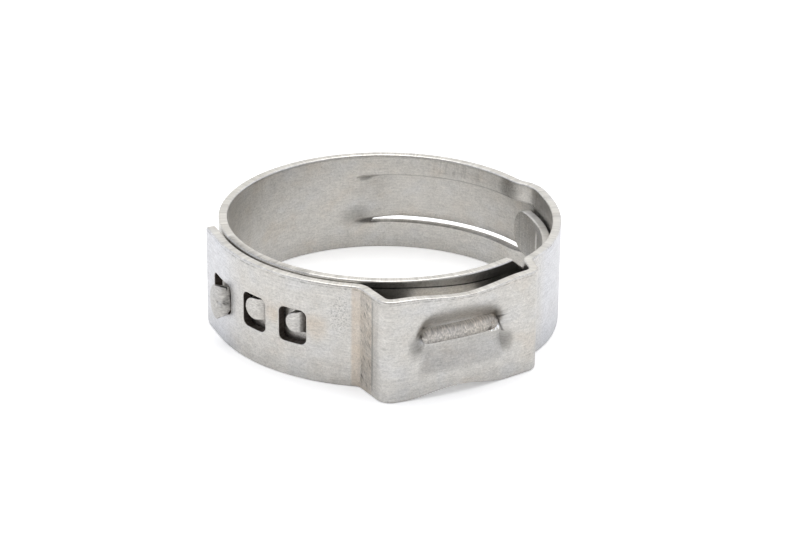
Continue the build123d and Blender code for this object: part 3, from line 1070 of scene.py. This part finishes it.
def buildBurrs():
    u = np.linspace(burrs["from"], burrs["to"], burrs["lineSteps"])
    flat = np.stack((u, np.full_like(u, burrs["height"])), -1)
    line, _ = placed(flat, np.full(len(flat), "main"), strip["thick"] / 2 - burrs["sunk"])
    mesh = bpy.data.meshes.new("burrLine")
    mesh.from_pydata((line * mm).tolist(), [(i, i + 1) for i in range(len(line) - 1)], [])
    guide = linked("burrLine", mesh)
    tree = burrTree()
    modifier = guide.modifiers.new("burrs", "NODES")
    modifier.node_group = tree
    values = {
        "Count": burrs["count"], "Length": burrs["length"] * mm, "Thickness": burrs["thickness"] * mm,
        "Share Kept": burrs["kept"], "Seed": burrs["seed"], "Metal": burrMetal(),
    }
    for item in tree.interface.items_tree:
        if item.in_out == "INPUT" and item.name in values:
            modifier[item.identifier] = values[item.name]
    evaluated = guide.evaluated_get(bpy.context.evaluated_depsgraph_get())
    slivers = bpy.data.meshes.new_from_object(evaluated)
    bpy.data.objects.remove(guide)
    print("burrs set, %d faces" % len(slivers.polygons))
    return linked("edgeBurrs", slivers)


edgeBurrs = buildBurrs()

# studio: white paper under a light tent, brighter overhead and behind than on the viewing side
studio = {
    "floorReach": 3.0, "floorHeight": -3.5, "paper": (0.93, 0.93, 0.93, 1), "paperRoughness": 0.9,
    "paperLift": 0.33, "reflectedLift": 0.15,
    "overhead": 0.25, "overheadAt": (0, 0.05, 0.3), "overheadPower": 0.5,
    "tent": (1.0, 0.99, 0.975), "window": (1.06, 1.11, 1.25, 1), "windowShare": 0.9, "windowEdge": (0.5, 0.9),
    "level": 0.42, "top": (0.15, 0.9, 0.16), "back": (0.0, 0.9, 0.50), "front": (0.3, 1.0, 0.14),
}


def buildFloor():
    r, h = studio["floorReach"], studio["floorHeight"] * mm
    mesh = bpy.data.meshes.new("floor")
    mesh.from_pydata([(-r, -r, h), (r, -r, h), (r, r, h), (-r, r, h)], [], [(0, 1, 2, 3)])
    material, shader = newMaterial("floorPaper")
    shader.inputs["Base Color"].default_value = studio["paper"]
    shader.inputs["Roughness"].default_value = studio["paperRoughness"]
    shader.inputs["Specular IOR Level"].default_value = 0.0
    seen = Wire.node("ShaderNodeLightPath")
    lift = seen + seen.beside("Is Glossy Ray") * studio["reflectedLift"]
    shaded((1.0, 1.0, 1.0), lift * studio["paperLift"]).into(shader, "Emission Color")
    shader.inputs["Emission Strength"].default_value = 1.0
    mesh.materials.append(material)
    return linked("floor", mesh)


floor = buildFloor()


def buildWorld():
    world = bpy.data.worlds.new("studioWorld")
    bpy.context.scene.world = world
    world.use_nodes = True
    Wire.tree = world.node_tree
    background = world.node_tree.nodes["Background"]
    seen = Wire.node("ShaderNodeLightPath")
    heading = Wire.node("ShaderNodeTexCoord")
    x = Wire.node("ShaderNodeSeparateXYZ", None, {"Vector": heading})
    y, z = x.beside("Y"), x.beside("Z")

    def lobe(way, name):
        low, high, share = studio[name]
        return rise(way, low, high) * share

    level = studio["level"] + lobe(z, "top") + lobe(y, "back") - lobe(y * -1, "front")
    sides = rise(x * -1, *studio["windowEdge"]) + rise(x, *studio["windowEdge"])
    lit = mixed(shaded(studio["tent"], level), studio["window"], sides * studio["windowShare"])
    mixed(lit, (1.0, 1.0, 1.0, 1.0), seen).into(background, "Color")
    background.inputs["Strength"].default_value = 1.0


buildWorld()


def buildOverhead():
    data = bpy.data.lights.new("overheadBox", "AREA")
    data.shape = "SQUARE"
    data.size = studio["overhead"]
    data.energy = studio["overheadPower"]
    linked("overheadBox", data).location = studio["overheadAt"]


buildOverhead()

# camera: degrees, millimetres, and a focal length in pixels of a frame that is 800 wide
shot = {
    "elevation": 24.27, "roll": 0.666, "distance": 181.0, "target": (0.982, -0.709, 0.0),
    "focalPixels": 2714.0, "frameWidth": 800, "sensor": 36, "nearest": 0.01,
}


def buildCamera():
    e, roll = math.radians(shot["elevation"]), math.radians(shot["roll"])
    back = Vector((0, -math.cos(e), math.sin(e)))
    right = Vector((1, 0, 0))
    up = back.cross(right)
    rolledRight = right * math.cos(roll) + up * math.sin(roll)
    rolledUp = up * math.cos(roll) - right * math.sin(roll)
    data = bpy.data.cameras.new("viewCamera")
    data.sensor_width = shot["sensor"]
    data.lens = shot["focalPixels"] * data.sensor_width / shot["frameWidth"]
    data.clip_start = shot["nearest"]
    camera = linked("viewCamera", data)
    turn = Matrix((rolledRight, rolledUp, back)).transposed().to_4x4()
    place = (Vector(shot["target"]) + back * shot["distance"]) * mm
    camera.matrix_world = Matrix.Translation(place) @ turn
    bpy.context.scene.camera = camera


buildCamera()
bpy.context.scene.view_settings.view_transform = "Standard"

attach(band, "root")
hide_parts("clamp_band")
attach(edgeBurrs, "root")
